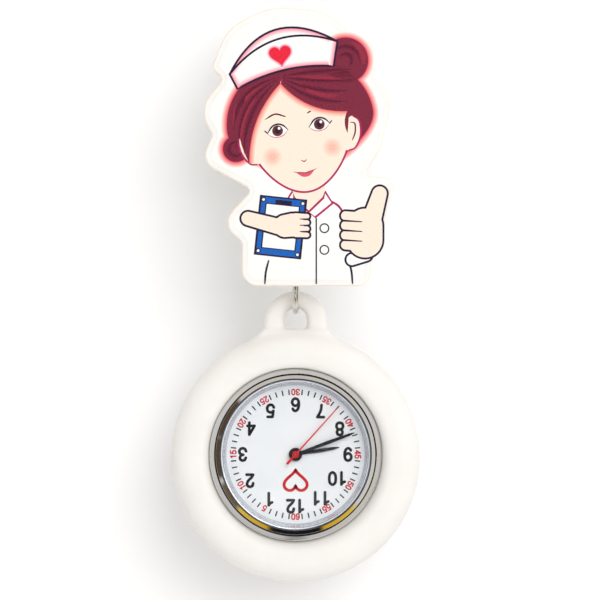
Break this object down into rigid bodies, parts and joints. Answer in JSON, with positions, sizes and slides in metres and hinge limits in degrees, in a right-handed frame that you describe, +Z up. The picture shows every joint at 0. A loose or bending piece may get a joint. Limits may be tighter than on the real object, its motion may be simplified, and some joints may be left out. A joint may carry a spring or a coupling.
{
  "type": "fob watch",
  "caption": "Hanging quartz watch in a soft ring-shaped holder, on a retracting cord reel with a contour-cut plate and a garment clip.",
  "frame": {"origin": "the bite of the garment clip's jaws, in the plane of the fabric", "axes": "+Z up as worn, +X to the right of a person who faces the dial, +Y into the wearer's clothes; the dial faces -Y"},
  "size_m": [0.0464, 0.0245, 0.1065],
  "materials": {
    "clip_steel": "nickel-plated stamped steel",
    "pin_steel": "plain spring steel",
    "reel_plastic": "moulded, glossy",
    "white_nylon": "moulded, satin",
    "pull_cord": "braided nylon",
    "white_acrylic": "glossy, cut edge",
    "printed_film": "printed, glossy",
    "foam_tape": "closed-cell foam",
    "polished_steel": "mirror polished",
    "white_silicone": "soft satin",
    "case_steel": "fine brushed",
    "mineral_glass": "clear, polished",
    "white_gasket": "translucent nylon",
    "black_gasket": "smooth",
    "rehaut_silver": "satin silver",
    "dial_white": "satin lacquer",
    "hand_black": "gloss lacquer",
    "hand_red": "gloss lacquer",
    "holder_plastic": "moulded, matt",
    "plate_plastic": "moulded and laminated",
    "plated_brass": "gilt",
    "small_steel": "plain",
    "battery_steel": "nickel plated",
    "copper_wire": "enamelled copper"
  },
  "bodies": {
    "clip": {"clip_base": "clip_steel", "clip_pin": "pin_steel", "clip_spring": "pin_steel", "swivel_rivet": "clip_steel", "swivel_washer": "clip_steel"},
    "lever": {"clip_lever": "clip_steel"},
    "reel": {"reel_front_cover": "reel_plastic", "reel_back_cover": "reel_plastic", "cord_eyelet": "white_nylon", "reel_spring": "pin_steel", "cord_lead": "pull_cord", "acrylic_plate": "white_acrylic", "print_film": "printed_film", "foam_pad": "foam_tape"},
    "spool": {"spool": "white_nylon", "cord_winding": "pull_cord"},
    "cord_end": {"cord_tail": "pull_cord", "cord_stopper": "white_nylon"},
    "ring": {"hanging_ring": "polished_steel"},
    "watch": {"silicone_cover": "white_silicone", "watch_case": "case_steel", "crown_tube": "polished_steel", "bezel": "polished_steel", "crystal": "mineral_glass", "crystal_gasket": "white_gasket", "rehaut_ring": "rehaut_silver", "dial": "dial_white", "case_back": "case_steel", "back_gasket": "black_gasket", "movement_holder": "holder_plastic", "main_plate": "plate_plastic", "train_bridge": "plated_brass", "bridge_screws": "small_steel", "battery": "battery_steel", "battery_strap": "small_steel", "coil_core": "small_steel", "coil_winding": "copper_wire", "stator": "small_steel", "circuit_board": "plate_plastic", "quartz_can": "small_steel"},
    "seconds": {"seconds_wheel": "plated_brass", "second_hand": "hand_red"},
    "minutes": {"center_wheel": "plated_brass", "minute_hand": "hand_black"},
    "hours": {"hour_wheel": "plated_brass", "hour_hand": "hand_black"},
    "third": {"third_wheel": "plated_brass"},
    "fifth": {"fifth_wheel": "plated_brass"},
    "rotor": {"rotor": "small_steel"},
    "motion_work": {"minute_wheel": "plated_brass"},
    "stem_slide": {"setting_lever": "small_steel"},
    "crown": {"stem": "small_steel", "sliding_pinion": "small_steel", "crown": "polished_steel"}
  },
  "joints": [
    {"name": "clip_open", "type": "hinge", "parent": "clip", "child": "lever", "pos_m": [0, -0.0016, 0.015], "axis": [1, 0, 0], "range_deg": [0, 32], "stiffness_Nm_per_rad": 0.03, "springref_deg": -20.05, "deforming": ["clip_spring"]},
    {"name": "reel_swivel", "type": "hinge", "parent": "clip", "child": "reel", "pos_m": [0, -0.0098, 0.0086], "axis": [0, 1, 0], "continuous": true},
    {"name": "cord_pull", "type": "slide", "parent": "reel", "child": "cord_end", "axis": [0, 0, -1], "range_m": [0, 0.6], "stiffness_N_per_m": 2, "springref_m": -0.4, "deforming": ["cord_tail"]},
    {"name": "spool_turn", "type": "hinge", "parent": "reel", "child": "spool", "pos_m": [0, -0.0098, 0.0086], "axis": [0, 1, 0], "range_deg": [0, 3760]},
    {"name": "ring_swing", "type": "hinge", "parent": "cord_end", "child": "ring", "pos_m": [0, -0.0098, -0.01816], "axis": [0, 1, 0], "range_deg": [-75, 75]},
    {"name": "watch_tilt", "type": "hinge", "parent": "ring", "child": "watch", "pos_m": [0, -0.0098, -0.02515], "axis": [-1, 0, 0], "range_deg": [-15, 60]},
    {"name": "seconds_turn", "type": "hinge", "parent": "watch", "child": "seconds", "pos_m": [0, -0.009, -0.054], "axis": [0, 1, 0], "continuous": true},
    {"name": "minutes_turn", "type": "hinge", "parent": "watch", "child": "minutes", "pos_m": [0, -0.009, -0.054], "axis": [0, 1, 0], "continuous": true},
    {"name": "hours_turn", "type": "hinge", "parent": "watch", "child": "hours", "pos_m": [0, -0.009, -0.054], "axis": [0, 1, 0], "continuous": true},
    {"name": "third_turn", "type": "hinge", "parent": "watch", "child": "third", "pos_m": [-0.00256, -0.009, -0.05307], "axis": [0, 1, 0], "continuous": true},
    {"name": "fifth_turn", "type": "hinge", "parent": "watch", "child": "fifth", "pos_m": [0.00236, -0.009, -0.05235], "axis": [0, 1, 0], "continuous": true},
    {"name": "rotor_turn", "type": "hinge", "parent": "watch", "child": "rotor", "pos_m": [0.0032, -0.009, -0.05089], "axis": [0, 1, 0], "continuous": true},
    {"name": "motion_work_turn", "type": "hinge", "parent": "watch", "child": "motion_work", "pos_m": [-0.00074, -0.009, -0.05603], "axis": [0, 1, 0], "continuous": true},
    {"name": "crown_pull", "type": "slide", "parent": "watch", "child": "stem_slide", "axis": [-1, 0, 0], "range_m": [0, 0.0009]},
    {"name": "crown_turn", "type": "hinge", "parent": "stem_slide", "child": "crown", "pos_m": [-0.0183, -0.0102, -0.054], "axis": [-1, 0, 0], "continuous": true}
  ],
  "couplings": [
    {"joint": "spool_turn", "follows": "cord_pull", "rad_per_m": 108.7},
    {"joint": "minutes_turn", "follows": "seconds_turn", "ratio": 0.016667},
    {"joint": "hours_turn", "follows": "seconds_turn", "ratio": 0.0013889},
    {"joint": "third_turn", "follows": "seconds_turn", "ratio": -0.13333},
    {"joint": "fifth_turn", "follows": "seconds_turn", "ratio": -5},
    {"joint": "rotor_turn", "follows": "seconds_turn", "ratio": 30},
    {"joint": "motion_work_turn", "follows": "seconds_turn", "ratio": -0.0055556}
  ]
}
